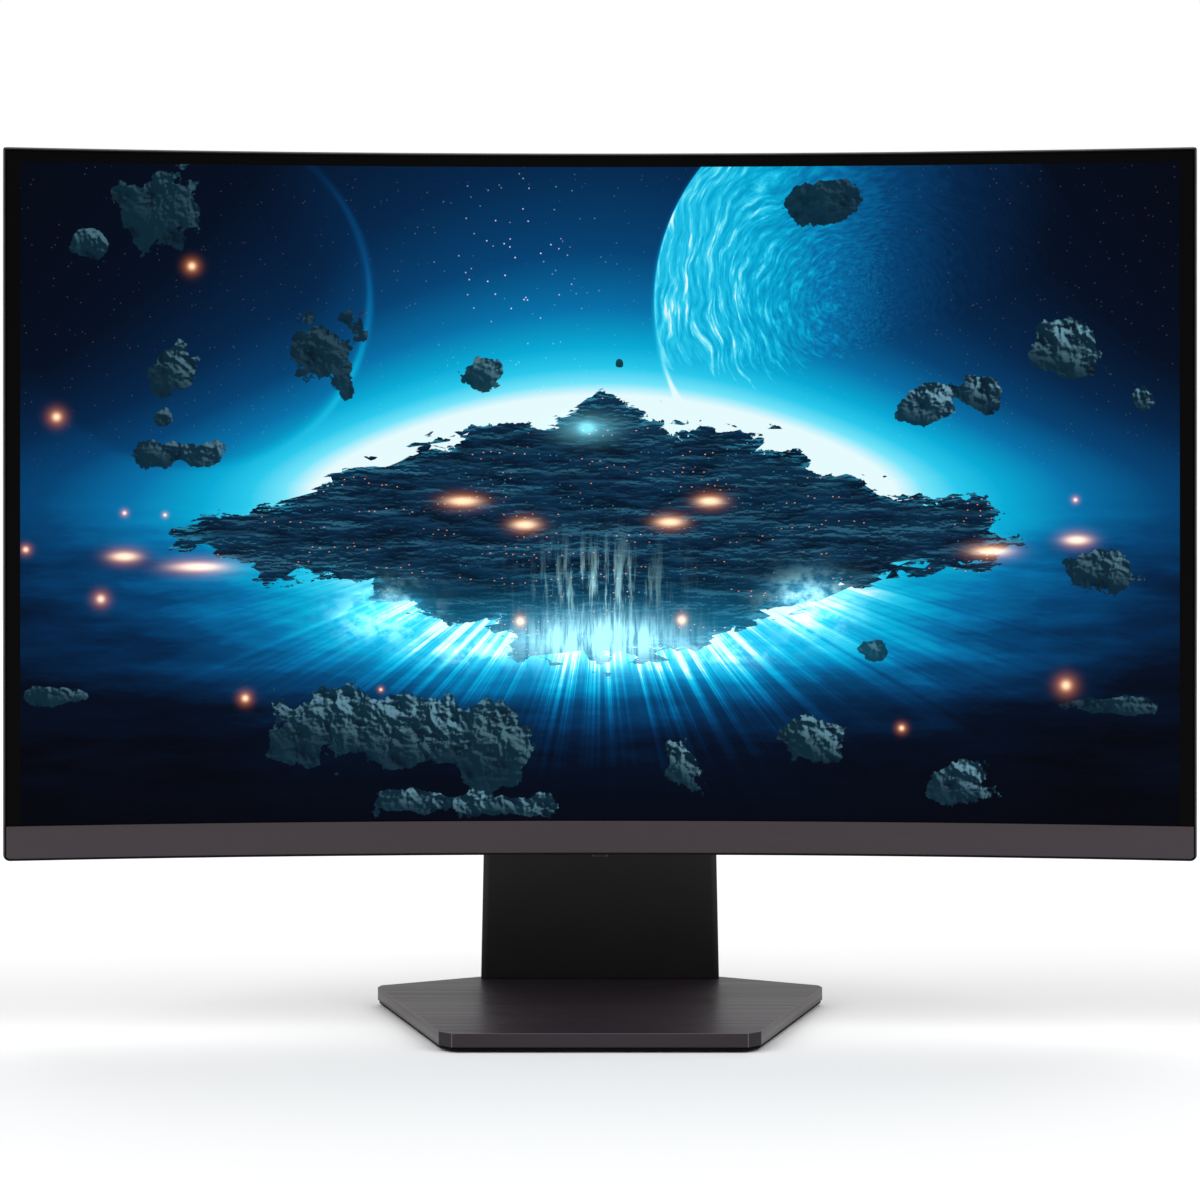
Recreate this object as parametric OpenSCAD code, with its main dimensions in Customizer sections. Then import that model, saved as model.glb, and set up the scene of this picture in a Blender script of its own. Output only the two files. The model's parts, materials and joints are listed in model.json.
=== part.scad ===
// Curved desktop monitor on a tilting stand, in millimetres. +Z is up and the screen faces -Y.
// The origin is on the desk, at the middle of the base's footprint.

/* [Screen head] */
// Width of the head
head_w = 609.1; // [607:0.1:612]
// Height of the head
head_h = 364.4; // [360:0.1:366]
// Height of the head's lower edge above the desk
head_z = 90.6; // [90:0.2:93]
// Radius of the screen's curve
curve_r = 1500; // [1450:10:1600]
// Y of the middle of the screen surface
screen_y = -27; // [-27.5:0.1:-26.5]
// Black border above the picture
top_border = 7; // [5:0.5:8]
// Height of the strip below the picture
strip_h = 16.4; // [16:0.1:17.5]

/* [Rear bulge] */
// Y of the bulge's flat rear face
bulge_y = 21; // [20.8:0.1:21.2]
// Half the width of the flat rear face
bulge_half_w = 152; // [151:1:156]
// Wall of the rear cover
wall = 2; // [1.8:0.1:2.2]
// Vent slots in the bulge's top and bottom slopes
vents = 25; // [11:2:29]

/* [Stand] */
// Half the width of the neck at the base
neck_half_w = 66; // [64:0.5:68]
// Height of the neck's top
neck_top = 300; // [297:1:302]
// Forward lean of the neck in degrees
neck_lean = 8.5; // [8.3:0.1:8.7]
// Height of the tilt axis
hinge_z = 275; // [274:0.5:276]
// Y of the tilt axis
hinge_y = 33; // [32.8:0.1:33.2]
// Radius of the tilt shaft
shaft_r = 4; // [3.5:0.1:4.5]

/* [Base] */
// Half the depth of the base
base_half_d = 103; // [102:0.5:106]
// Half the width of the base at its widest corners
base_half_w = 121; // [116:1:128]
// Height of the base's top face
base_top = 9.9; // [9.8:0.1:10]

/* [Hidden] */
$fn = 48;

head_half = head_w / 2;
head_top = head_z + head_h;
curve_y = screen_y - curve_r;
bend_angle = 26;
run_gap = 0.05;

// Depths behind the screen surface
frame_front = -0.8;
strip_front = -1.6;
cell_back = 1.4;
shelf_back = 2.1;
guide_front = 3.4;
guide_back = 6.4;
reflector_front = 6.5;
reflector_back = 6.7;
chassis_front = 6.9;
chassis_back = 7.7;
source_front = 8.6;
source_back = 9.8;
cover_front = 12;
cover_back = 15.5;

// Edges of the head's layers
frame_wall = 1.4;
lip = 1.1;
corner_top = 1.6;
corner_bottom = 3.5;
cell_half = head_half - frame_wall - 0.35;
cell_top = head_top - frame_wall - 0.3;
cell_bottom = head_z + 11;
sheet_half = head_half - 5.55;
sheet_top = head_top - top_border + 0.3;
sheet_bottom = head_z + 13;
strip_z = head_z + lip + 0.1;

// Rear bulge: slopes run from the flat face to the thin zone
bulge_low = 176;
bulge_high = 374;
bulge_side_slope = 50 / 48;
bulge_end_slope = 26 / 36;
mount_z = hinge_z;
mount_half = 58;
mount_floor = bulge_y - 6;
vesa_half = 50;
vesa_places = [for (x = [-vesa_half, vesa_half], z = [-vesa_half, vesa_half]) [x, mount_z + z]];
hook_x0 = 15;
hook_x1 = 25;
hook_z0 = mount_z + 48;
hook_z1 = mount_z + 55;
port_x0 = -147;
port_x1 = -63;
port_z0 = 184;
port_z1 = 214;
port_z = 199;
lock_x = 118;
lock_z = 192;
lock_half_w = 7;
lock_half_h = 4;
cover_screw_r = 1.5;
cover_screw_places = [[-42, 192], [42, 192], [-130, 352], [130, 352]];
vent_pitch = 9;
vent_half = 1.4;

// Pod of the control stick under the head's lower edge
pod_y = 2;
pod_half_w = 26;
pod_top = 112;
stick_y = screen_y + 18.5;
stick_z = head_z + 9;
stick_hole_r = 5.6;
light_x = 20;

// Boards inside the bulge
board_x0 = -152;
board_x1 = -62;
board_z0 = 180;
board_z1 = 300;
board_y = -2.6;
board_t = 1.6;
board_back = board_y + board_t;
bracket_y = -7.6;
bracket_t = 0.8;
board_corners = [
    for (x = [board_x0 + 5, board_x1 - 5], z = [board_z0 + 40, board_z1 - 5]) [x, z]
];
video_places = [[-124.5, 15.4, 6.6], [-105.5, 15.4, 6.6], [-86, 16.4, 6.6]];
audio_x = -71;
audio_half = 3.5;
power_x = -140.5;
power_half_w = 4.7;
power_half_h = 5;
connector_x0 = -112;
connector_x1 = -88;

// Release latch below the mounting recess
latch_y = 16.4;
latch_t = 2.3;
button_z0 = 196;
button_z1 = 211.6;
latch_travel = 4.5;
spring_z0 = 179;
spring_z1 = 190;
spring_y = 16.8;

// Neck and hinge
neck_y = 84.5;
neck_t = 14;
neck_wall = 2.2;
neck_split = 7;
neck_taper = 0.0253;
lean_slope = tan(neck_lean);
core_v0 = 5;
core_v1 = 9;
core_half = 45;
bracket_screw_r = 1.5;
bracket_screw_v = 3.2;
bracket_front = 2.4;
knuckle_r = 10;
arm_half = 25.7;
knuckle_x0 = 26;
knuckle_x1 = 38;
knuckle_half_h = 10;
arm_flange_back = mount_floor + 7.3;
arm_screw_r = 1.5;
arm_screw_places = [for (x = [-15, 15], z = [-17, 17]) [x, hinge_z + z]];
nut_x0 = knuckle_x1 + 1.8;
cap_x1 = 49;

// Base
foot_h = 1.2;
tray_top = 2.9;
weight_z0 = 3.2;
weight_z1 = 7.9;
shell_t = 1.5;
screw_y = 90.5;
screw_recess_r = 9.2;
screw_head_z0 = 3;
screw_head_z1 = 4.5;
screw_r = 3;
ring_z = 1.9;
ring_wire = 0.7;
ring_half = 4.4;
ring_reach = 6.4;
pin_x = 32;
pin_y = 91;
pin_r = 2.5;
boss_r = 4;
boss_places = [[55, -80], [95, 40]];
foot_places = [[60, -88], [104, 45], [50, 88]];
tab_half = neck_half_w + 0.3;
base_right = [
    [73.7, -base_half_d], [80.5, 7 - base_half_d], [base_half_w, 53.5], [base_half_w - 1.6, 60],
    [tab_half, 93], [tab_half, base_half_d]
];
base_left = [for (i = [len(base_right) - 1:-1:0]) [-base_right[i][0], base_right[i][1]]];
base_outline = concat(base_right, base_left);

// Y of the layer at a depth behind the screen surface, at a distance x from the middle
function surf(x, depth) = curve_y + sqrt(pow(curve_r + depth, 2) - x * x);
function at(x, depth, z) = [x, surf(x, depth), z];
// Y of the neck's layer at v millimetres behind its front face, at height z
function neck_line(z, v) = neck_y - (z - base_top) * lean_slope + v / cos(neck_lean);
function neck_half(z) = neck_half_w - (z - base_top) * neck_taper;
function unit(v) = v / norm(v);
function inward(a, b) = let (t = unit(b - a)) [-t[1], t[0]];
// A counter-clockwise outline drawn in by d
function inset(p, d) = [
    for (i = [0:len(p) - 1])
        let (
            a = inward(p[(i + len(p) - 1) % len(p)], p[i]),
            b = inward(p[i], p[(i + 1) % len(p)])
        )
        p[i] + d * (a + b) / (1 + a * b)
];
function tangent(p, i) = unit(p[min(i + 1, len(p) - 1)] - p[max(i - 1, 0)]);

// A round bar of radius r along the points p; ref is a direction it never runs along
module tube(p, r, ref, n = 8) {
    m = len(p);
    rings = [
        for (i = [0:m - 1])
            let (t = tangent(p, i), u = unit(cross(ref, t)), w = cross(t, u))
            for (k = [0:n - 1]) p[i] + r * (cos(360 * k / n) * u + sin(360 * k / n) * w)
    ];
    lower_sides = [
        for (i = [0:m - 2], k = [0:n - 1]) [i * n + k, (i + 1) * n + k, (i + 1) * n + (k + 1) % n]
    ];
    upper_sides = [
        for (i = [0:m - 2], k = [0:n - 1]) [i * n + k, (i + 1) * n + (k + 1) % n, i * n + (k + 1) % n]
    ];
    start = [for (k = [0:n - 1]) k];
    end = [for (k = [n - 1:-1:0]) (m - 1) * n + k];
    polyhedron(points = rings, faces = concat([start, end], lower_sides, upper_sides), convexity = 6);
}

// Turns a profile of radius and height about the screen's centre of curvature
module bend() {
    translate([0, curve_y, 0])
        rotate(90 - bend_angle / 2)
            rotate_extrude(angle = bend_angle, $fn = 256) children();
}

// A curved sheet between two depths, cut off square at half_w
module slab(d0, d1, half_w, z0, z1) {
    intersection() {
        bend() translate([curve_r + d0, z0]) square([d1 - d0, z1 - z0]);
        translate([-half_w, screen_y - 60, z0 - 1]) cube([2 * half_w, 120, z1 - z0 + 2]);
    }
}

// Everything on the screen's side of a curved layer
module ahead_of(depth) {
    translate([0, curve_y, 0]) cylinder(r = curve_r + depth, h = 600, $fn = 256);
}

// Moves a piece from the middle of the screen round its curve
module around(angle) {
    translate([0, curve_y, 0]) rotate(angle) translate([0, -curve_y, 0]) children();
}

module box(x0, x1, y0, y1, z0, z1) {
    translate([x0, y0, z0]) cube([x1 - x0, y1 - y0, z1 - z0]);
}

module rod_x(r, x0, x1, y, z) {
    translate([x0, y, z]) rotate([0, 90, 0]) cylinder(r = r, h = x1 - x0);
}

module rod_y(r, y0, y1, x, z) {
    translate([x, y0, z]) rotate([-90, 0, 0]) cylinder(r = r, h = y1 - y0);
}

module rod_z(r, z0, z1, x, y) {
    translate([x, y, z0]) cylinder(r = r, h = z1 - z0);
}

// A profile of Y and Z drawn out along X
module along_x(x0, x1) {
    translate([x0, 0, 0]) rotate([90, 0, 90]) linear_extrude(x1 - x0) children();
}

// An outline of X and Z drawn out along Y, over the whole head
module along_y() {
    translate([0, 100, 0]) rotate([90, 0, 0]) linear_extrude(250) children();
}

module both_sides() {
    children();
    mirror([1, 0, 0]) children();
}

module corner_waste(x, z, side, r) {
    difference() {
        translate([x - r, z - r]) square(2 * r);
        translate([x - side[0] * r, z - side[1] * r]) circle(r);
    }
}

// The head's outline drawn in by g, with its own corner radii at top and bottom
module head_outline(g, r_top, r_bottom) {
    half = head_half - g;
    difference() {
        translate([-half, head_z + g]) square([2 * half, head_h - 2 * g]);
        for (s = [-1, 1]) {
            corner_waste(s * half, head_top - g, [s, 1], r_top);
            corner_waste(s * half, head_z + g, [s, -1], r_bottom);
        }
    }
}

// The thin part of the rear cover drawn in by g, with slopes along all four edges
module rear_thin_zone(g) {
    front = g > 0 ? cover_front - 2 : cover_front;
    rim = cover_front + 0.4;
    rear = cover_back - g;
    slope_h = 14;
    slope_w = 16;
    low = head_z + 0.6 + g;
    high = head_top - 0.6 - g;
    edge = head_half - 0.55 - g;
    shoulder = edge - slope_w;
    shoulder_y = surf(shoulder, rear + 0.6);
    intersection() {
        bend() polygon([
            [curve_r + front, low], [curve_r + rim, low], [curve_r + rear, low + slope_h],
            [curve_r + rear, high - slope_h], [curve_r + rim, high], [curve_r + front, high]
        ]);
        linear_extrude(600) polygon([
            [-edge, -150], [edge, -150], [edge, surf(edge, rim)], [shoulder, shoulder_y],
            [0, 40], [-shoulder, shoulder_y], [-edge, surf(edge, rim)]
        ]);
    }
}

// A block whose sides and ends slope out from its rear face towards the screen
module sloped_block(g, rear, half, side_slope, low, low_slope, high, high_slope) {
    y1 = rear - g;
    y0 = screen_y - 40;
    function side(y) = half + side_slope * (rear - y) - g * sqrt(1 + side_slope * side_slope);
    function floor_z(y) = low - low_slope * (rear - y) + g * sqrt(1 + low_slope * low_slope);
    function roof_z(y) = high + high_slope * (rear - y) - g * sqrt(1 + high_slope * high_slope);
    intersection() {
        linear_extrude(600) polygon([[-side(y1), y1], [-side(y0), y0], [side(y0), y0], [side(y1), y1]]);
        along_x(-300, 300) polygon([
            [y1, floor_z(y1)], [y1, roof_z(y1)], [y0, roof_z(y0)], [y0, floor_z(y0)]
        ]);
    }
}

module bulge(g) {
    sloped_block(g, bulge_y, bulge_half_w, bulge_side_slope,
        bulge_low, bulge_end_slope, bulge_high, bulge_end_slope);
}

module stick_pod(g) {
    sloped_block(g, pod_y, pod_half_w, 1.3, head_z + 0.6, 0, pod_top, 1.5);
}

module cover_solid(g) {
    rear_thin_zone(g);
    bulge(g);
    stick_pod(g);
}

// Slots in the top slope, and in the bottom slope clear of the sockets, the latch and the neck
module vent_slots() {
    for (i = [0:vents - 1]) {
        x = (i - (vents - 1) / 2) * vent_pitch;
        box(x - vent_half, x + vent_half, -4, 14, bulge_high + 2, bulge_high + 30);
        if (abs(x) > 48 && x > port_x1) {
            box(x - vent_half, x + vent_half, -4, 12, bulge_low - 30, bulge_low - 3);
        }
    }
}

// A block between two Y values, centred on a socket
module socket_block(x, half_w, half_h, y0, y1) {
    box(x - half_w, x + half_w, y0, y1, port_z - half_h, port_z + half_h);
}

module socket_mouths(gap, y0, y1) {
    for (v = video_places) socket_block(v[0], v[1] / 2 + gap, v[2] / 2 + gap, y0, y1);
    socket_block(audio_x, audio_half + gap, audio_half + gap, y0, y1);
    socket_block(power_x, power_half_w + gap, power_half_h + gap, y0, y1);
}

// Material round the mounting recess and the socket recess, with the latch's seat and guides
module recess_walls() {
    floor_back = mount_floor - wall;
    intersection() {
        bulge(0);
        union() {
            box(-mount_half - wall, mount_half + wall, floor_back, bulge_y,
                mount_z - mount_half - wall, mount_z + mount_half + wall);
            box(port_x0 - wall, port_x1 + wall, floor_back, bulge_y, port_z0 - wall, port_z1 + wall);
            box(-6, 6, spring_y - 2.4, bulge_y - 1, spring_z0 - 3, spring_z0);
            both_sides() box(18.4, 20.4, 15.6, bulge_y - 1, 186, 214);
        }
    }
}

// Hook slots above, latch slot and button slot below the mounting recess
module latch_slots() {
    slot_back = latch_y + latch_t + 0.3;
    both_sides() box(hook_x0 - 1, hook_x1 + 1, 0, mount_floor + 1, hook_z0 - 1, hook_z1 + 2);
    box(-8.4, 8.4, latch_y + 0.6, slot_back, mount_z - mount_half - 3, mount_z - mount_half + 1);
    box(-14, 14, 10, 40, button_z0 - latch_travel - 0.3, button_z1 + 0.4);
}

module rear_cover() {
    color([0.11, 0.11, 0.12]) difference() {
        union() {
            difference() {
                cover_solid(0);
                cover_solid(wall);
            }
            recess_walls();
            both_sides() rod_z(2, head_z + 1, stick_z + 6.6, 14.5, stick_y);
        }
        ahead_of(cover_front);
        box(-mount_half, mount_half, mount_floor, 40, mount_z - mount_half, mount_z + mount_half);
        box(port_x0, port_x1, mount_floor, 40, port_z0, port_z1);
        socket_mouths(0.2, 0, 40);
        vent_slots();
        for (p = vesa_places) rod_y(4.5, 0, 40, p[0], p[1]);
        latch_slots();
        box(lock_x - lock_half_w, lock_x + lock_half_w, 10, 40,
            lock_z - lock_half_h, lock_z + lock_half_h);
        for (p = cover_screw_places) {
            rod_y(cover_screw_r + 0.3, 0, 40, p[0], p[1]);
            rod_y(3.3, bulge_y - 1, 40, p[0], p[1]);
        }
        rod_z(stick_hole_r, head_z, head_z + 3, 0, stick_y);
        rod_z(1.55, head_z, head_z + 3, light_x, stick_y);
    }
}

module middle_frame() {
    color([0.03, 0.03, 0.035]) {
        difference() {
            intersection() {
                slab(frame_front, cover_front, head_half + 2, head_z - 2, head_top + 2);
                along_y() head_outline(0, corner_top, corner_bottom);
            }
            along_y() translate([-head_half + frame_wall, head_z + lip])
                square([head_w - 2 * frame_wall, head_h - lip - frame_wall]);
        }
        difference() {
            slab(cell_back + 0.1, shelf_back, head_half - frame_wall / 2, cell_bottom + 4,
                head_top - frame_wall / 2);
            box(-head_half + 7, head_half - 7, -200, 100, 0, head_top - 5.8);
        }
    }
}

module lower_strip() {
    color([0.28, 0.26, 0.28]) intersection() {
        union() {
            slab(strip_front, -0.1, cell_half, strip_z, strip_z + strip_h);
            slab(-0.2, 5, cell_half, strip_z, strip_z + 1.5);
        }
        along_y() head_outline(1.2, corner_top - 1.1, corner_bottom - 0.9);
    }
}

module lcd_cell() {
    color([0.02, 0.03, 0.05]) slab(0, cell_back, cell_half, cell_bottom, cell_top);
}

module inner_frame() {
    color([0.85, 0.85, 0.85]) difference() {
        slab(shelf_back + 0.1, reflector_back, cell_half - 0.2, sheet_bottom, cell_top - 0.2);
        box(-sheet_half - 0.4, sheet_half + 0.4, -200, 100, 0, sheet_top + 0.4);
    }
}

module optical_sheets() {
    color([0.9, 0.92, 0.95]) slab(2.2, 3.2, sheet_half, sheet_bottom + 2, sheet_top);
}

module light_guide() {
    color([0.8, 0.88, 0.92]) slab(guide_front, guide_back, sheet_half, sheet_bottom, sheet_top);
}

module reflector_sheet() {
    color("white") slab(reflector_front, reflector_back, sheet_half, sheet_bottom, sheet_top);
}

module led_bar() {
    leds = 44;
    step = 22.4 / leds;
    color([0.95, 0.9, 0.6]) {
        slab(guide_front, guide_back, sheet_half - 3, head_z + 7.1, head_z + 8.3);
        for (i = [0:leds - 1]) {
            around((i - (leds - 1) / 2) * step)
                box(-2.5, 2.5, screen_y + 3.9, screen_y + 5.9, head_z + 8, head_z + 12.6);
        }
    }
}

module panel_chassis() {
    color([0.62, 0.63, 0.65]) {
        slab(chassis_front, chassis_back, cell_half - 0.4, head_z + 6, cell_top - 0.4);
        slab(3.2, chassis_front, 220, head_z + 6, head_z + 7);
        for (p = cover_screw_places) {
            difference() {
                rod_y(4, screen_y - 5, bulge_y - wall, p[0], p[1]);
                rod_y(cover_screw_r, bulge_y - wall - 12, bulge_y, p[0], p[1]);
                ahead_of(chassis_back);
            }
        }
    }
}

module source_board() {
    color([0.05, 0.25, 0.12]) {
        slab(source_front, source_back, 285, head_z + 5, head_z + 16);
        difference() {
            box(connector_x0, connector_x1, -23, -18.9, head_z + 10, head_z + 14);
            ahead_of(source_back);
        }
    }
}

module driver_films() {
    films = 8;
    step = 2.65;
    color([0.75, 0.5, 0.15]) for (i = [0:films - 1]) {
        around((i - (films - 1) / 2) * step) {
            slab(cell_back, cell_back + 0.15, 14, head_z + 4, cell_bottom + 2);
            slab(cell_back, source_front, 14, head_z + 3.8, head_z + 4);
            slab(source_front - 0.2, source_front, 14, head_z + 4, head_z + 12);
        }
    }
}

module vesa_plate() {
    plate_y = mount_floor - wall;
    color([0.6, 0.61, 0.63]) difference() {
        union() {
            box(-62, 62, plate_y - 2, plate_y, mount_z - 61, mount_z + 62);
            for (p = vesa_places) rod_y(5, screen_y - 5, plate_y - 1, p[0], p[1]);
        }
        ahead_of(chassis_back);
        for (p = vesa_places) rod_y(2, plate_y - 12, plate_y + 1, p[0], p[1]);
        both_sides() box(hook_x0 - 2, hook_x1 + 2, 0, 30, hook_z0 - 2, hook_z1 + 3);
        rod_y(18, 0, 30, 0, mount_z);
        both_sides() box(30, 44, 0, 30, mount_z - 25, mount_z + 25);
    }
}

module board_bracket() {
    color([0.66, 0.67, 0.69]) difference() {
        union() {
            box(board_x0 - 2, board_x1 + 2, bracket_y, bracket_y + bracket_t,
                board_z0 + 30, board_z1 + 4);
            for (p = board_corners) {
                rod_y(2.5, bracket_y, board_y, p[0], p[1]);
                rod_y(3.5, screen_y - 5, bracket_y + bracket_t, p[0], p[1]);
            }
        }
        ahead_of(chassis_back);
        for (p = board_corners) rod_y(1.2, bracket_y - 1, board_y + 1, p[0], p[1]);
        for (x = [-130, -107, -84]) box(x - 6, x + 6, -20, 0, board_z0 + 60, board_z1 - 20);
    }
}

module main_board() {
    color([0.04, 0.3, 0.16]) difference() {
        box(board_x0, board_x1, board_y, board_back, board_z0, board_z1);
        for (p = board_corners) rod_y(1.4, board_y - 1, board_back + 1, p[0], p[1]);
    }
}

// Connectors, capacitors, a transformer and chips
module board_parts() {
    color([0.1, 0.1, 0.1]) {
        box(connector_x0, connector_x1, board_back, 1.4, 183, 188);
        box(-150, -142, board_back, 3.5, 183.5, 188.5);
        box(-77, -67, board_back, 3.5, 183.5, 188.5);
        for (x = [-145, -133, -121]) rod_y(4, board_back, 11, x, 231);
        for (x = [-146, -136]) rod_y(3.2, board_back, 8, x, 282);
        box(-150, -136, board_back, 8, 240, 254);
        box(-97, -83, board_back, 0.6, 220, 234);
        for (i = [0:5]) box(-80, -77, board_back, 0.6, 220 + 2.8 * i, 221.6 + 2.8 * i);
    }
}

module board_shield() {
    color([0.7, 0.71, 0.73]) difference() {
        box(-84, -65, board_back, 5.5, 245, 288);
        box(-83.6, -65.4, board_back - 1, 5.1, 245.4, 287.6);
        for (x = [-79, -74.5, -70], z = [252:7:282]) rod_y(1.2, 4, 7, x, z);
    }
}

module heat_sink() {
    fins = 8;
    color([0.3, 0.31, 0.33]) {
        box(-124, -92, board_back, 1.5, 246, 286);
        for (i = [0:fins - 1]) box(-124 + i * 4.4, -122.8 + i * 4.4, 1.5, 11, 246, 286);
    }
}

module video_sockets() {
    shell = 0.6;
    socket_floor = 4;
    color([0.75, 0.76, 0.78]) for (v = video_places) {
        half_w = v[1] / 2;
        half_h = v[2] / 2;
        difference() {
            socket_block(v[0], half_w, half_h, board_back, mount_floor);
            socket_block(v[0], half_w - shell, half_h - shell, socket_floor, mount_floor + 1);
        }
        socket_block(v[0], 5.5, 0.6, socket_floor, 10);
    }
}

module audio_socket() {
    color([0.08, 0.08, 0.09]) difference() {
        socket_block(audio_x, audio_half, audio_half, board_back, mount_floor);
        rod_y(1.775, mount_floor - 13, mount_floor + 1, audio_x, port_z);
    }
}

module power_inlet() {
    color([0.08, 0.08, 0.09]) {
        difference() {
            socket_block(power_x, power_half_w, power_half_h, board_back, mount_floor);
            rod_y(3.3, mount_floor - 10, mount_floor + 1, power_x, port_z);
        }
        rod_y(0.8, mount_floor - 10, mount_floor - 1, power_x, port_z);
    }
}

module panel_flat_cable() {
    low_y = -19.5;
    t = 0.3;
    color([0.85, 0.85, 0.8]) along_x(connector_x0 + 2, connector_x1 - 2) polygon([
        [low_y, head_z + 14], [low_y, 166], [-0.3, 180.6], [-0.3, 183], [-0.3 + t, 183],
        [-0.3 + t, 180.4], [low_y + t, 165.8], [low_y + t, head_z + 14]
    ]);
}

module led_cable() {
    route = [
        at(-224, 5, head_z + 7.1), at(-224, 5, head_z + 5.2), at(-224, 6.3, head_z + 4),
        at(-224, 9, head_z + 3.7), at(-224, 10.8, head_z + 4.8), at(-223.5, 11.2, head_z + 9),
        at(-220, 11.2, 112), at(-205, 10.6, 134), at(-184, 10.6, 156), [-170, -19, 164],
        [-158, -12, 170], [-149, -3, 176], [-146, 1, 180.5], [-146, 1.2, 183.5]
    ];
    color([0.85, 0.82, 0.2]) tube(route, 0.8, [1, 0.3, -0.15]);
}

module stick_cable() {
    route = [
        [-12, stick_y, stick_z + 7.8], [-12.2, stick_y, 110], [-16, stick_y - 2, 112.5],
        [-20, -14, 118], [-24, -16.6, 126], [-34, -16.8, 138], [-52, -17.4, 156],
        [-64, -15, 166], [-70, -8, 173], [-72, -1, 178], [-72, 1.2, 181], [-72, 1.2, 183.5]
    ];
    color([0.12, 0.12, 0.12]) tube(route, 0.9, [0.4, 1, 0]);
}

module stick_housing() {
    color([0.2, 0.2, 0.21]) {
        difference() {
            box(-6.5, 6.5, stick_y - 6.5, stick_y + 6.5, stick_z - 5.4, stick_z + 6.6);
            box(-5.4, 5.4, stick_y - 5.4, stick_y + 5.4, stick_z - 6, stick_z + 5.2);
        }
        rod_y(0.8, stick_y + 4, stick_y + 5.4, 0, stick_z);
        rod_y(0.8, stick_y - 5.4, stick_y - 4, 0, stick_z);
    }
}

module stick_board() {
    color([0.04, 0.3, 0.16]) box(-18, 18, stick_y - 6.5, stick_y + 6.5, stick_z + 6.6, stick_z + 7.8);
}

module stick_gimbal() {
    color([0.75, 0.75, 0.77]) {
        difference() {
            box(-5, 5, stick_y - 5, stick_y + 5, stick_z - 1.8, stick_z + 1.8);
            box(-3.8, 3.8, stick_y - 3.8, stick_y + 3.8, stick_z - 2, stick_z + 2);
            rod_y(0.8 + run_gap, stick_y - 6, stick_y + 6, 0, stick_z);
        }
        rod_x(0.8, 2.7, 3.8, stick_y, stick_z);
        rod_x(0.8, -3.8, -2.7, stick_y, stick_z);
    }
}

module stick_cradle() {
    color([0.85, 0.85, 0.87]) difference() {
        box(-3.4, 3.4, stick_y - 3.4, stick_y + 3.4, stick_z - 2.2, stick_z + 2.2);
        rod_z(1.8 + run_gap, stick_z - 3, stick_z + 3, 0, stick_y);
        rod_x(0.8 + run_gap, 2.5, 4, stick_y, stick_z);
        rod_x(0.8 + run_gap, -4, -2.5, stick_y, stick_z);
    }
}

module stick_knob() {
    color([0.05, 0.05, 0.055]) {
        rod_z(1.8, stick_z - 7, stick_z + 4, 0, stick_y);
        difference() {
            rod_z(4.2, head_z - 2.8, stick_z - 6.6, 0, stick_y);
            translate([0, stick_y, head_z - 11.6]) sphere(r = 9.4);
        }
    }
}

module power_light_lens() {
    color([0.9, 0.9, 0.95]) rod_z(1.55, head_z + 0.4, head_z + 3, light_x, stick_y);
}

module lock_slot_insert() {
    slot_half_w = 3.5;
    slot_half_h = 1.5;
    color([0.7, 0.7, 0.72]) difference() {
        box(lock_x - lock_half_w, lock_x + lock_half_w, bulge_y - 1.8, bulge_y - 0.1,
            lock_z - lock_half_h, lock_z + lock_half_h);
        box(lock_x - slot_half_w, lock_x + slot_half_w, 0, 40,
            lock_z - slot_half_h, lock_z + slot_half_h);
    }
}

module cover_screws() {
    cross_reach = 1.8;
    cross_half = 0.35;
    color([0.2, 0.2, 0.21]) for (p = cover_screw_places) translate([p[0], 0, p[1]]) {
        rod_y(cover_screw_r, bulge_y - 10, bulge_y - 1, 0, 0);
        difference() {
            rod_y(3, bulge_y - 1, bulge_y + 0.4, 0, 0);
            box(-cross_reach, cross_reach, bulge_y - 0.4, 40, -cross_half, cross_half);
            box(-cross_half, cross_half, bulge_y - 0.4, 40, -cross_reach, cross_reach);
        }
    }
}

module board_screws() {
    color([0.75, 0.76, 0.78]) for (p = board_corners) {
        rod_y(1.2, bracket_y + 1, board_back, p[0], p[1]);
        rod_y(2.6, board_back, board_back + 1.6, p[0], p[1]);
    }
}

module release_plate() {
    top = mount_z + 56;
    color([0.2, 0.2, 0.21]) difference() {
        union() {
            box(-39, 39, mount_floor, mount_floor + 5, mount_z - 49, top);
            box(-39, 39, mount_floor, mount_floor + 2, mount_z - 55, mount_z - 49);
            both_sides() {
                box(hook_x0, hook_x1, 10, mount_floor, hook_z0, hook_z0 + 3);
                box(hook_x0, hook_x1, 10, 12.6, hook_z0 + 3, hook_z1);
            }
        }
        for (p = arm_screw_places) rod_y(arm_screw_r, 10, 30, p[0], p[1]);
        both_sides() box(31, 36, mount_floor + 2, 30, mount_z - 40, mount_z + 46);
    }
}

module hinge_arm() {
    color([0.14, 0.14, 0.15]) difference() {
        union() {
            rod_x(knuckle_r, -arm_half, arm_half, hinge_y, hinge_z);
            box(-20, 20, mount_floor + 5, hinge_y, hinge_z - 8, hinge_z + 8);
            box(-30, 30, mount_floor + 5, arm_flange_back, hinge_z - 25, hinge_z + 25);
        }
        rod_x(shaft_r, -60, 60, hinge_y, hinge_z);
        for (p = arm_screw_places) rod_y(arm_screw_r + 0.2, 10, 30, p[0], p[1]);
    }
}

module arm_screws() {
    seat = arm_flange_back;
    color([0.6, 0.6, 0.62]) for (p = arm_screw_places) {
        rod_y(arm_screw_r, mount_floor, seat, p[0], p[1]);
        difference() {
            rod_y(2.9, seat, seat + 1.7, p[0], p[1]);
            translate([p[0], seat + 0.7, p[1]]) rotate([-90, 0, 0]) cylinder(r = 1.3, h = 3, $fn = 6);
        }
    }
}

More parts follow.
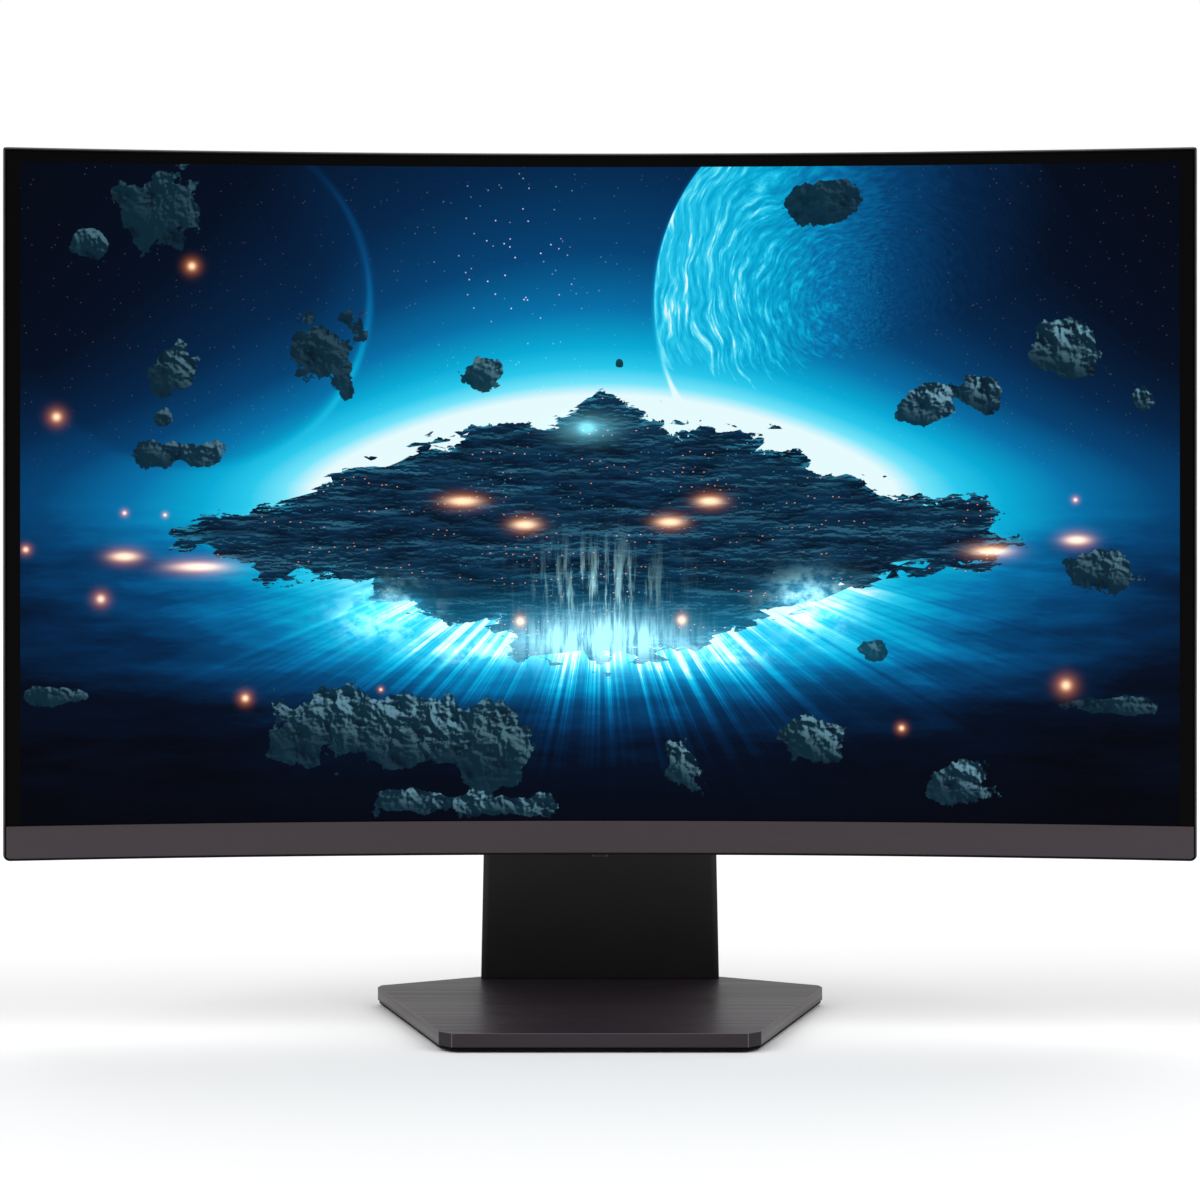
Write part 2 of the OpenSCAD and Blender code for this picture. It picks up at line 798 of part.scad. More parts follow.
module hinge_shaft() {
    color([0.6, 0.6, 0.62]) rod_x(shaft_r, -46, 46, hinge_y, hinge_z);
}

module friction_washers() {
    color([0.72, 0.6, 0.3]) both_sides() difference() {
        rod_x(7.4, knuckle_x1 + 0.3, nut_x0, hinge_y, hinge_z);
        rod_x(shaft_r, 0, 60, hinge_y, hinge_z);
    }
}

module hinge_nuts() {
    color([0.65, 0.65, 0.67]) both_sides() difference() {
        translate([nut_x0, hinge_y, hinge_z]) rotate([0, 90, 0]) cylinder(r = 7.5, h = 4.5, $fn = 6);
        rod_x(shaft_r, 0, 60, hinge_y, hinge_z);
    }
}

module release_button() {
    front = latch_y + latch_t;
    color([0.16, 0.16, 0.17]) {
        box(-13.7, 13.7, front, bulge_y + 0.4, button_z0, button_z1);
        for (i = [0:3]) along_x(-11, 11) translate([bulge_y + 0.4, button_z0 + 3 + i * 3])
            polygon([[0, -1], [1, 0], [0, 1]]);
    }
}

module latch_bolt() {
    color([0.5, 0.5, 0.52]) {
        box(-18, 18, latch_y, latch_y + latch_t, spring_z1, 213);
        box(-8, 8, latch_y + 0.9, latch_y + latch_t, 213, mount_z - 51);
    }
}

module latch_spring() {
    turns = 5;
    steps = 14;
    coil_r = 1.5;
    wire_r = 0.3;
    rise = (spring_z1 - spring_z0 - 2 * wire_r) / (turns * steps);
    coil = [
        for (i = [0:turns * steps])
            let (a = i * 360 / steps)
            [coil_r * cos(a), spring_y + coil_r * sin(a), spring_z0 + wire_r + i * rise]
    ];
    color([0.7, 0.7, 0.72]) tube(coil, wire_r, [0, 0, 1], 6);
}

// The leaning strip between two layers of the neck and two heights, as Y and Z
module neck_strip(v0, v1, z0, z1) {
    polygon([
        [neck_line(z0, v0), z0], [neck_line(z0, v1), z0],
        [neck_line(z1, v1), z1], [neck_line(z1, v0), z1]
    ]);
}

// The neck between two layers and two heights, drawn in by g at its sides
module neck_band(v0, v1, z0, z1, g) {
    intersection() {
        along_x(-100, 100) neck_strip(v0, v1, z0, z1);
        along_y() polygon([
            [neck_half(z0 - 1) - g, z0 - 1], [neck_half(z1 + 1) - g, z1 + 1],
            [g - neck_half(z1 + 1), z1 + 1], [g - neck_half(z0 - 1), z0 - 1]
        ]);
    }
}

// Takes the sharp edge off one side of the neck's front
module neck_edge_waste() {
    edge = 4;
    depth = 2;
    translate([neck_half_w, neck_y, base_top])
        rotate([neck_lean, -atan(neck_taper), 0])
            translate([-edge, 0, -20])
                rotate(atan2(depth, edge))
                    translate([-10, -20, 0]) cube([40, 20, 400]);
}

// Rods square to the neck's face at the four bracket screws, between two layers
module bracket_holes(r, v0, v1) {
    for (x = [-31, 31], z = [-15.5, 15.5]) {
        translate([x, neck_line(hinge_z + z, 0), hinge_z + z])
            rotate([neck_lean - 90, 0, 0])
                translate([0, 0, v0]) cylinder(r = r, h = v1 - v0);
    }
}

module neck_front_cover() {
    window_low = hinge_z - knuckle_half_h - 0.2;
    color([0.1, 0.1, 0.105]) difference() {
        neck_band(0, neck_split, base_top, neck_top, 0);
        neck_band(neck_wall, neck_split + 1, base_top - 1, neck_top - 2, 2);
        both_sides() neck_edge_waste();
        both_sides() box(knuckle_x0 - 0.2, knuckle_x1 + 0.2, 20, neck_line(window_low, neck_wall + 1),
            window_low, hinge_z + knuckle_half_h + 0.2);
    }
}

module neck_rear_cover() {
    color([0.1, 0.1, 0.105]) difference() {
        neck_band(neck_split, neck_t, base_top, neck_top, 0);
        neck_band(neck_split - 1, neck_t - neck_wall, base_top - 1, neck_top - 2, 2);
    }
}

module neck_core() {
    color([0.55, 0.56, 0.58]) difference() {
        along_x(-core_half, core_half) neck_strip(core_v0, core_v1, 14, neck_top - 4);
        box(-8, 8, 0, 200, 0, 26);
        for (z = [80, 140, 200]) rod_y(14, 0, 150, 0, z);
        bracket_holes(1.7, core_v0 - 1, core_v1 + 1);
    }
}

module neck_foot() {
    color([0.45, 0.45, 0.47]) difference() {
        along_x(-50, 50) neck_strip(2.4, 11.6, weight_z1, 24);
        neck_core();
        rod_z(screw_r + run_gap, 0, 20, 0, screw_y);
        both_sides() rod_z(pin_r, 0, 13.8, pin_x, pin_y);
    }
}

module hinge_bracket() {
    z0 = hinge_z - 22;
    z1 = hinge_z + 20;
    low = hinge_z - knuckle_half_h;
    high = hinge_z + knuckle_half_h;
    color([0.14, 0.14, 0.15]) difference() {
        union() {
            along_x(-knuckle_x1, knuckle_x1) neck_strip(bracket_front, core_v0, z0, z1);
            both_sides() {
                rod_x(knuckle_r, knuckle_x0, knuckle_x1, hinge_y, hinge_z);
                along_x(knuckle_x0, knuckle_x1) polygon([
                    [hinge_y, low], [neck_line(low, 3), low], [neck_line(high, 3), high], [hinge_y, high]
                ]);
            }
        }
        rod_x(shaft_r + run_gap, -60, 60, hinge_y, hinge_z);
        bracket_holes(bracket_screw_r, bracket_screw_v, core_v0 + 1);
    }
}

module bracket_screws() {
    head_r = 2.8;
    head_t = 1.6;
    color([0.6, 0.6, 0.62]) {
        bracket_holes(bracket_screw_r, bracket_screw_v, core_v1 + 0.1);
        bracket_holes(head_r, core_v1, core_v1 + head_t);
    }
}

module hinge_caps() {
    color([0.09, 0.09, 0.1]) both_sides() difference() {
        rod_x(knuckle_r, knuckle_x1, cap_x1, hinge_y, hinge_z);
        rod_x(knuckle_r - 1.4, knuckle_x1 - 1, cap_x1 - 1.4, hinge_y, hinge_z);
    }
}

module locating_pins() {
    color([0.7, 0.7, 0.72]) both_sides() rod_z(pin_r, 3.6, 13.8, pin_x, pin_y);
}

module base_cover() {
    color([0.27, 0.25, 0.27]) difference() {
        union() {
            difference() {
                translate([0, 0, tray_top]) linear_extrude(base_top - tray_top) polygon(base_outline);
                translate([0, 0, tray_top - 1])
                    linear_extrude(base_top - tray_top + 1 - shell_t)
                        polygon(inset(base_outline, shell_t));
            }
            both_sides() for (p = boss_places) rod_z(boss_r, weight_z0, base_top - 1, p[0], p[1]);
        }
        both_sides() for (p = boss_places) rod_z(1.2, 0, 7.6, p[0], p[1]);
        box(-51, 51, 86.3, 97.2, 0, 20);
    }
}

module base_weight() {
    color([0.4, 0.4, 0.42]) difference() {
        translate([0, 0, weight_z0])
            linear_extrude(weight_z1 - weight_z0) polygon(inset(base_outline, shell_t + 0.6));
        rod_z(screw_recess_r, 0, screw_head_z1, 0, screw_y);
        rod_z(screw_r + 0.3, 0, 20, 0, screw_y);
        both_sides() {
            rod_z(pin_r + run_gap, 0, 20, pin_x, pin_y);
            for (p = boss_places) rod_z(boss_r + 0.3, 0, 20, p[0], p[1]);
        }
    }
}

module base_tray() {
    color([0.04, 0.04, 0.045]) difference() {
        translate([0, 0, foot_h]) linear_extrude(tray_top - foot_h) polygon(inset(base_outline, 0.8));
        rod_z(screw_recess_r, 0, 20, 0, screw_y);
        both_sides() for (p = boss_places) {
            rod_z(1.5, 0, 20, p[0], p[1]);
            rod_z(3.2, 0, 2.3, p[0], p[1]);
        }
    }
}

module rubber_feet() {
    color([0.07, 0.07, 0.07]) both_sides() for (p = foot_places) rod_z(8, 0, foot_h, p[0], p[1]);
}

module tray_screws() {
    color([0.3, 0.3, 0.31]) both_sides() for (p = boss_places) {
        rod_z(1.2, 2.2, 7.5, p[0], p[1]);
        rod_z(3, foot_h + 0.1, 2.3, p[0], p[1]);
    }
}

module thumb_screw() {
    color([0.6, 0.6, 0.62]) difference() {
        union() {
            rod_z(screw_r, screw_head_z1, 19.5, 0, screw_y);
            rod_z(8, screw_head_z0, screw_head_z1, 0, screw_y);
            both_sides() box(5.4, 7, screw_y - 1.4, screw_y + 1.4, 0.8, screw_head_z0);
        }
        rod_x(ring_wire + run_gap, -10, 10, screw_y, ring_z);
    }
}

module screw_ring() {
    color([0.72, 0.72, 0.74]) {
        both_sides() {
            rod_x(ring_wire, ring_half, 7.3, screw_y, ring_z);
            rod_y(ring_wire, screw_y - ring_reach, screw_y, ring_half, ring_z);
            translate([ring_half, screw_y, ring_z]) sphere(r = ring_wire);
            translate([ring_half, screw_y - ring_reach, ring_z]) sphere(r = ring_wire);
        }
        rod_x(ring_wire, -ring_half, ring_half, screw_y - ring_reach, ring_z);
    }
}

rear_cover();
middle_frame();
lower_strip();
lcd_cell();
inner_frame();
optical_sheets();
light_guide();
reflector_sheet();
led_bar();
panel_chassis();
source_board();
driver_films();
vesa_plate();
board_bracket();
main_board();
board_parts();
board_shield();
heat_sink();
video_sockets();
audio_socket();
power_inlet();
panel_flat_cable();
led_cable();
stick_housing();
stick_board();
stick_cable();
power_light_lens();
lock_slot_insert();
cover_screws();
board_screws();
release_plate();
hinge_arm();
arm_screws();
hinge_shaft();
friction_washers();
hinge_nuts();
stick_gimbal();
stick_cradle();
stick_knob();
release_button();
latch_bolt();
latch_spring();
neck_front_cover();
neck_rear_cover();
neck_core();
neck_foot();
hinge_bracket();
bracket_screws();
hinge_caps();
locating_pins();
base_cover();
base_weight();
base_tray();
rubber_feet();
tray_screws();
thumb_screw();
screw_ring();
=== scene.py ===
"""A curved desktop monitor on its tilting stand: materials, picture and studio around the CAD frame."""

import json
import math

import bmesh
import bpy
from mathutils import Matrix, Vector


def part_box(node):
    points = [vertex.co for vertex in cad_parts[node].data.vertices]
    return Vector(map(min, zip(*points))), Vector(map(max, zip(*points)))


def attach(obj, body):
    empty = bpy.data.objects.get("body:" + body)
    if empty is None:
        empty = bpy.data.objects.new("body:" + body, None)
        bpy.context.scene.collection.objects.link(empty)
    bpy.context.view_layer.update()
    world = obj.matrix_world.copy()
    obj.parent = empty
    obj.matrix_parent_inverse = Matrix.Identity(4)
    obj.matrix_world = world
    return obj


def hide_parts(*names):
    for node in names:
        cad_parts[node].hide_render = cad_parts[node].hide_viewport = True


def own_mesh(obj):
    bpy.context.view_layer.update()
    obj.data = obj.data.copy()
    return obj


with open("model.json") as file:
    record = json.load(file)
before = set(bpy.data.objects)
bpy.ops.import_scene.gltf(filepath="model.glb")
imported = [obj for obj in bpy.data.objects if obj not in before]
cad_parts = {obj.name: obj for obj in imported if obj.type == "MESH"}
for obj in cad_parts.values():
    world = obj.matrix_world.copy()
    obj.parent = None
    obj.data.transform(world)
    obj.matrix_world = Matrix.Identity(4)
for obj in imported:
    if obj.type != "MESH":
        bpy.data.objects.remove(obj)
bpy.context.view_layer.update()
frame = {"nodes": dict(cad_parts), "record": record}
record = frame["record"]

MM = 0.001
UP = Vector((0.0, 0.0, 1.0))

# ---------------------------------------------------------------- screen, in metres
SCREEN_RADIUS = 1.5
CELL_THICKNESS = 1.4 * MM
SIDE_BORDER = 8.4 * MM
TOP_BORDER = 7.0 * MM
STRIP_GAP = 0.6 * MM
SHEET_LIFT = 0.25 * MM

head_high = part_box("middle_frame")[1]
strip_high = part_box("lower_strip")[1]
cell_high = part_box("lcd_cell")[1]
screen_middle_y = cell_high.y - CELL_THICKNESS
curve_centre_y = screen_middle_y - SCREEN_RADIUS
picture_half = head_high.x - SIDE_BORDER
picture_top = head_high.z - TOP_BORDER
picture_bottom = strip_high.z + STRIP_GAP


# ---------------------------------------------------------------- node graphs as expressions
class Wire:
    """A socket that can be added, multiplied and so on, so that a graph reads like a formula."""

    def __init__(self, graph, socket):
        self.graph = graph
        self.socket = socket

    def __add__(self, other):
        return self.graph.math("ADD", self, other)

    def __sub__(self, other):
        return self.graph.math("SUBTRACT", self, other)

    def __mul__(self, other):
        return self.graph.math("MULTIPLY", self, other)

    def __truediv__(self, other):
        return self.graph.math("DIVIDE", self, other)

    def __rsub__(self, other):
        return self.graph.math("SUBTRACT", other, self)

    __radd__ = __add__
    __rmul__ = __mul__


class Graph:
    """Builds one material's nodes. With dimensions "2D" the patterns ignore Z, which is quicker."""

    def __init__(self, name, dimensions="3D"):
        self.dimensions = dimensions
        self.material = bpy.data.materials.new(name)
        self.material.use_nodes = True
        self.tree = self.material.node_tree
        self.shader = self.tree.nodes["Principled BSDF"]

    def plug(self, value, socket):
        """Links a wire to a socket, or sets the socket to a plain value."""
        if isinstance(value, Wire):
            self.tree.links.new(value.socket, socket)
        else:
            socket.default_value = value

    def node(self, kind, output=0, inputs=None, **settings):
        """Adds a node and returns one of its outputs."""
        node = self.tree.nodes.new(kind)
        for key, value in settings.items():
            setattr(node, key, value)
        for key, value in (inputs or {}).items():
            self.plug(value, node.inputs[key])
        return Wire(self, node.outputs[output])

    def math(self, operation, a, b=0.0):
        return self.node("ShaderNodeMath", inputs={0: a, 1: b}, operation=operation)

    def set(self, **values):
        """Sets the shader's inputs by short names and returns the material."""
        names = {
            "color": "Base Color",
            "rough": "Roughness",
            "metal": "Metallic",
            "specular": "Specular IOR Level",
            "normal": "Normal",
            "glow": "Emission Color",
            "glow_strength": "Emission Strength",
            "sheen": "Sheen Weight",
        }
        for key, value in values.items():
            self.plug(value, self.shader.inputs[names[key]])
        return self.material

    def place(self, scale=(1, 1, 1), turn=(0, 0, 0)):
        """Object coordinates in metres, scaled and turned."""
        at = self.node("ShaderNodeTexCoord", output="Object")
        return self.node("ShaderNodeMapping", inputs={"Vector": at, "Scale": scale, "Rotation": turn})

    def parts(self, kind):
        """The X, Y and Z of the piece's own coordinates ("Object") or of the way it faces ("Normal")."""
        split = self.tree.nodes.new("ShaderNodeSeparateXYZ")
        self.plug(self.node("ShaderNodeTexCoord", output=kind), split.inputs[0])
        return [Wire(self, split.outputs[axis]) for axis in "XYZ"]

    def noise(self, vector, scale, detail=3.0, rough=0.5):
        values = {"Vector": vector, "Scale": scale, "Detail": detail, "Roughness": rough}
        return self.node("ShaderNodeTexNoise", inputs=values, noise_dimensions=self.dimensions)

    def voronoi(self, vector, scale, output="Distance", **inputs):
        values = {"Vector": vector, "Scale": scale}
        values.update(inputs)
        return self.node(
            "ShaderNodeTexVoronoi", output=output, inputs=values, voronoi_dimensions=self.dimensions
        )

    def remap(self, value, low, high, to_low=0.0, to_high=1.0, smooth=True):
        """Carries low..high to to_low..to_high, held at the ends."""
        return self.node(
            "ShaderNodeMapRange",
            inputs={
                "Value": value,
                "From Min": low,
                "From Max": high,
                "To Min": to_low,
                "To Max": to_high,
            },
            interpolation_type="SMOOTHSTEP" if smooth else "LINEAR",
        )

    def mix(self, factor, a, b, blend="MIX"):
        node = self.tree.nodes.new("ShaderNodeMix")
        node.data_type = "RGBA"
        node.blend_type = blend
        self.plug(factor, node.inputs[0])
        self.plug(rgba(a), node.inputs[6])
        self.plug(rgba(b), node.inputs[7])
        return Wire(self, node.outputs[2])

    def ramp(self, value, stops):
        """Looks a value up in a row of (position, colour) stops."""
        node = self.tree.nodes.new("ShaderNodeValToRGB")
        self.plug(value, node.inputs[0])
        elements = node.color_ramp.elements
        while len(elements) < len(stops):
            elements.new(0.5)
        for element, (position, color) in zip(elements, stops):
            element.position = position
            element.color = rgba(color)
        return Wire(self, node.outputs[0])

    def bump(self, height, distance):
        values = {"Height": height, "Distance": distance, "Strength": 1.0}
        return self.node("ShaderNodeBump", inputs=values)


def rgba(color):
    """A colour with its alpha, or a wire as it is."""
    if isinstance(color, Wire) or len(color) == 4:
        return color
    return (*color, 1.0)


def shade(color, factor):
    """A darker or lighter version of a colour."""
    return tuple(min(1.0, c * factor) for c in color)


# ---------------------------------------------------------------- materials
def plastic(name, color, rough, specular=0.4, grain=0.35 * MM, depth=0.02 * MM, mottle=0.12):
    """Moulded plastic with a fine spark-eroded grain and faint cloudy variation."""
    g = Graph(name)
    at = g.place()
    grain_height = g.noise(at, 1 / grain, detail=2.0)
    cloud = g.noise(at, 9.0, detail=3.0)
    rub = g.noise(at, 55.0, detail=4.0, rough=0.6)
    return g.set(
        color=g.mix(cloud, shade(color, 1 - mottle), shade(color, 1 + mottle)),
        rough=g.remap(rub, 0.3, 0.7, rough - 0.04, rough + 0.05),
        specular=specular,
        normal=g.bump(grain_height, depth),
    )


def brush_space(g):
    """Space in which noise becomes level lines: along X on top faces, level on upright ones."""
    x, y, z = g.parts("Object")
    upward = g.math("ABSOLUTE", g.parts("Normal")[2])
    along = 0.012
    across_or_along = g.remap(upward, 0.2, 0.9, along, 1.0)
    return g.node("ShaderNodeCombineXYZ", inputs={0: x * along, 1: y * across_or_along, 2: z})


def painted_edge_light(g, tone, color):
    """Painted highlights on the bevels round the top and beside the front face, and painted shade on the
    corner facets.

    Each is told by the way it faces.
    """
    facing_x, facing_y, up = g.parts("Normal")
    sideways = g.math("ABSOLUTE", facing_x)
    forward = g.remap(facing_y, -0.3, -0.5)
    level = g.remap(g.math("ABSOLUTE", up), 0.3, 0.1)
    # Painted highlights: bevels facing partly up or partly sideways are lightened as if they caught the
    # light.
    top_bevel_highlight = g.remap(up, 0.1, 0.3) * g.remap(up, 0.99, 0.9)
    corner_bevel_highlight = g.remap(sideways, 0.08, 0.2) * g.remap(sideways, 0.66, 0.55) * level * forward
    facet_shade = g.remap(sideways, 0.62, 0.69) * g.remap(sideways, 0.85, 0.76) * level * forward
    # Painted shade: the corner facets are darkened as if turned away from the light.
    tone = g.mix(facet_shade * 0.75, tone, shade(color, 0.1))
    return g.mix(g.math("MAXIMUM", top_bevel_highlight * 0.8, corner_bevel_highlight), tone, shade(color, 7.0))


def brushed(name, color, rough, specular, painted_edges=False):
    """A satin painted surface with fine lines brushed along X, and painted edge highlights and facet shade
    if asked for.
    """
    pitch = 0.25 * MM
    g = Graph(name)
    line_space = brush_space(g)
    lines = g.noise(line_space, 1 / pitch, detail=3.0, rough=0.65)
    streaks = g.noise(line_space, 260.0, detail=2.0)
    cloud = g.noise(g.place(), 7.0, detail=2.0)
    tone = g.mix(cloud, g.mix(lines, shade(color, 0.78), shade(color, 1.22)), shade(color, 1.05))
    return g.set(
        color=painted_edge_light(g, tone, color) if painted_edges else tone,
        rough=g.remap(streaks, 0.3, 0.7, rough - 0.05, rough + 0.06),
        specular=specular,
        normal=g.bump(lines, 0.006 * MM),
    )


def sheet_metal(name, color, rough, spangle=260.0):
    """Zinc-coated or rolled steel: small crystals and fine rolling lines."""
    g = Graph(name)
    at = g.place()
    crystal = g.voronoi(at, spangle, output="Color")
    rolled = g.noise(g.place(scale=(0.04, 1, 1)), 3000.0, detail=2.0)
    return g.set(
        color=g.mix(crystal, shade(color, 0.86), shade(color, 1.08)),
        rough=g.remap(rolled, 0.3, 0.7, rough - 0.06, rough + 0.08),
        metal=1.0,
        normal=g.bump(rolled, 0.004 * MM),
    )


def turned_metal(name, color, rough):
    """Plated or machined metal with tiny tool marks and a few darker specks."""
    g = Graph(name)
    marks = g.noise(g.place(scale=(1, 1, 9)), 900.0, detail=2.0)
    specks = g.remap(g.noise(g.place(), 500.0, detail=3.0), 0.58, 0.72)
    return g.set(
        color=g.mix(specks, color, shade(color, 0.7)),
        rough=g.remap(marks, 0.3, 0.7, rough - 0.05, rough + 0.07),
        metal=1.0,
        normal=g.bump(marks, 0.004 * MM),
    )


def cast_metal(name, color):
    """A pitted cast surface."""
    g = Graph(name)
    pits = g.noise(g.place(), 700.0, detail=5.0, rough=0.65)
    return g.set(
        color=g.mix(pits, shade(color, 0.7), shade(color, 1.25)),
        rough=0.6,
        metal=1.0,
        normal=g.bump(pits, 0.08 * MM),
    )


def circuit_board(name, color):
    """Solder mask over copper tracks, with rows of solder pads."""
    g = Graph(name)
    at = g.place()
    upright = g.place(scale=(1, 1, 0.6), turn=(math.pi / 2, 0, 0))
    track = g.node(
        "ShaderNodeTexBrick",
        output="Fac",
        inputs={"Vector": upright, "Scale": 90.0, "Mortar Size": 0.012},
    )
    pads = g.remap(g.voronoi(at, 320.0), 0.16, 0.2, 1.0, 0.0)
    mask = g.mix(track, color, shade(color, 2.2))
    return g.set(
        color=g.mix(pads, mask, (0.62, 0.6, 0.5)),
        rough=g.remap(track, 0.0, 1.0, 0.32, 0.26, smooth=False),
        specular=0.5,
        normal=g.bump(track, 0.02 * MM),
    )


def striped_film(name, color):
    """A flat cable or film with darker conductors along it."""
    g = Graph(name)
    lines = g.node(
        "ShaderNodeTexWave",
        output="Fac",
        inputs={"Vector": g.place(), "Scale": 900.0, "Distortion": 0.4},
        bands_direction="X",
    )
    return g.set(color=g.mix(lines, color, shade(color, 0.45)), rough=0.25, specular=0.5)


def lamp_strip(name, color):
    """A row of lamps, as a checker of lamp colour and white board."""
    g = Graph(name)
    cells = g.node("ShaderNodeTexChecker", output="Fac", inputs={"Vector": g.place(), "Scale": 160.0})
    return g.set(color=g.mix(cells, (0.85, 0.85, 0.82), color), rough=0.35, specular=0.5)


def soft_film(name, color, rough):
    """Optical film or acrylic with a microscopic prism texture."""
    g = Graph(name)
    prisms = g.node(
        "ShaderNodeTexWave",
        output="Fac",
        inputs={"Vector": g.place(), "Scale": 1500.0},
        bands_direction="X",
    )
    haze = g.noise(g.place(), 14.0)
    return g.set(
        color=g.mix(haze, shade(color, 0.94), color),
        rough=rough,
        specular=0.5,
        normal=g.bump(prisms, 0.003 * MM),
    )


def rubber(name, color):
    """Matt rubber with pores and a little dust."""
    g = Graph(name)
    pores = g.noise(g.place(), 1800.0, detail=3.0)
    dust = g.remap(g.noise(g.place(), 80.0, detail=4.0), 0.5, 0.75)
    return g.set(
        color=g.mix(dust, color, shade(color, 2.2)),
        rough=0.85,
        specular=0.25,
        sheen=0.1,
        normal=g.bump(pores, 0.03 * MM),
    )


def frame_plastic(name, color):
    """Near-black moulding with faint random mottle, and a thin lighter chamfer round its outside that is a
    painted highlight on the front-facing edge.
    """
    g = Graph(name)
    x, _, z = g.parts("Object")
    from_side = head_high.x - g.math("ABSOLUTE", x)
    from_edge = g.math("MINIMUM", from_side, head_high.z - z)
    forward = g.remap(g.parts("Normal")[1], -0.1, -0.45)
    # Painted highlight: the front-facing band near the outer edge is lightened to stand in for light caught
    # on the chamfer.
    chamfer_highlight = g.remap(from_edge, 0.9 * MM, 0.35 * MM) * forward
    wear_and_sheen = g.noise(g.place(), 120.0, detail=4.0)
    grain_height = g.noise(g.place(), 1 / (0.3 * MM), detail=2.0)
    # Colour of the painted highlight on the chamfer, varied by the same noise as the mottle and roughness.
    painted_highlight_color = g.mix(wear_and_sheen, (0.1, 0.096, 0.098), (0.2, 0.195, 0.2))
    return g.set(
        color=g.mix(chamfer_highlight, g.mix(wear_and_sheen, shade(color, 0.8), shade(color, 1.2)), painted_highlight_color),
        rough=g.remap(wear_and_sheen, 0.3, 0.7, 0.34, 0.44),
        specular=0.12,
        normal=g.bump(grain_height, 0.01 * MM),
    )


def border_glass(name):
    """The panel's black margin behind its hard coat."""
    g = Graph(name)
    haze = g.noise(g.place(), 2500.0, detail=2.0)
    tone = g.noise(g.place(), 5.0)
    return g.set(
        color=g.mix(tone, (0.0012, 0.001, 0.001), (0.0024, 0.002, 0.002)),
        rough=g.remap(haze, 0.3, 0.7, 0.3, 0.38),
        specular=0.035,
        normal=g.bump(haze, 0.001 * MM),
    )


MAKERS = {
    "cover_black": lambda n: plastic(n, (0.022, 0.0215, 0.023), 0.5, grain=0.7 * MM, depth=0.09 * MM),
    "frame_black": lambda n: frame_plastic(n, (0.0032, 0.0028, 0.0028)),
    "strip_finish": lambda n: brushed(n, (0.045, 0.034, 0.042), 0.45, specular=0.25),
    "screen_glass": border_glass,
    "white_plastic": lambda n: plastic(n, (0.75, 0.75, 0.74), 0.5, mottle=0.03),
    "diffuser_film": lambda n: soft_film(n, (0.85, 0.88, 0.9), 0.4),
    "clear_acrylic": lambda n: soft_film(n, (0.7, 0.82, 0.86), 0.12),
    "led_strip": lambda n: lamp_strip(n, (0.9, 0.8, 0.35)),
    "steel": lambda n: sheet_metal(n, (0.58, 0.59, 0.6), 0.36),
    "board_green": lambda n: circuit_board(n, (0.01, 0.11, 0.045)),
    "film_amber": lambda n: striped_film(n, (0.5, 0.26, 0.04)),
    "chip_black": lambda n: plastic(n, (0.02, 0.02, 0.021), 0.45, grain=0.2 * MM, depth=0.01 * MM),
    "sink_grey": lambda n: turned_metal(n, (0.2, 0.21, 0.22), 0.42),
    "socket_metal": lambda n: turned_metal(n, (0.3, 0.3, 0.31), 0.34),
    "cable_white": lambda n: striped_film(n, (0.75, 0.75, 0.7)),
    "cable_yellow": lambda n: plastic(n, (0.7, 0.52, 0.04), 0.4),
    "cable_black": lambda n: rubber(n, (0.02, 0.02, 0.02)),
    "lens_clear": lambda n: soft_film(n, (0.8, 0.82, 0.85), 0.3),
    "screw_dark": lambda n: turned_metal(n, (0.07, 0.07, 0.075), 0.38),
    "screw_bright": lambda n: turned_metal(n, (0.6, 0.6, 0.62), 0.26),
    "bronze": lambda n: turned_metal(n, (0.55, 0.36, 0.15), 0.35),
    "stick_black": lambda n: plastic(n, (0.014, 0.014, 0.015), 0.55, grain=0.4 * MM, depth=0.03 * MM),
    "stick_metal": lambda n: turned_metal(n, (0.62, 0.62, 0.64), 0.3),
    "neck_black": lambda n: plastic(
        n, (0.016, 0.0135, 0.0145), 0.42, specular=0.3, grain=0.3 * MM, depth=0.012 * MM
    ),
    "hinge_dark": lambda n: plastic(n, (0.03, 0.03, 0.032), 0.5, grain=0.8 * MM, depth=0.04 * MM),
    "cast_grey": lambda n: cast_metal(n, (0.3, 0.3, 0.31)),
    "base_finish": lambda n: brushed(n, (0.023, 0.017, 0.022), 0.36, specular=0.3, painted_edges=True),
    "weight_steel": lambda n: sheet_metal(n, (0.35, 0.35, 0.36), 0.45, spangle=120.0),
    "tray_black": lambda n: plastic(n, (0.003, 0.0028, 0.003), 0.7, specular=0.06),
    "rubber_black": lambda n: rubber(n, (0.018, 0.018, 0.018)),
}

slot_of = {part["node"]: part["material_slot"] for part in record["subparts"]}
materials = {slot: maker(slot) for slot, maker in MAKERS.items()}
for name, node_object in frame["nodes"].items():
    node_object.data.materials.clear()
    node_object.data.materials.append(materials[slot_of[name]])


# ---------------------------------------------------------------- rounded edges on the CAD pieces
# In millimetres. Where a piece has very short edges, the modifier rounds the whole piece less than this.
EDGE_RADII = {
    "rear_cover": 0.6,
    "middle_frame": 0.12,
    "lower_strip": 0.12,
    "neck_front_cover": 0.5,
    "neck_rear_cover": 0.8,
    "base_cover": 0.25,
    "base_tray": 0.4,
    "rubber_feet": 0.3,
    "release_plate": 0.4,
    "hinge_arm": 0.5,
    "hinge_bracket": 0.5,
    "hinge_caps": 0.8,
    "hinge_nuts": 0.3,
    "hinge_shaft": 0.4,
    "release_button": 0.25,
    "stick_knob": 0.5,
    "thumb_screw": 0.25,
    "cover_screws": 0.12,
    "arm_screws": 0.2,
    "video_sockets": 0.12,
    "audio_socket": 0.2,
    "power_inlet": 0.2,
    "lock_slot_insert": 0.15,
}
# Pieces with a few very short edges that keep their radius all the same
UNCLAMPED = ("middle_frame", "lower_strip", "base_cover")
SHARP_ANGLE = math.radians(28)
JOIN_DISTANCE = 0.002 * MM


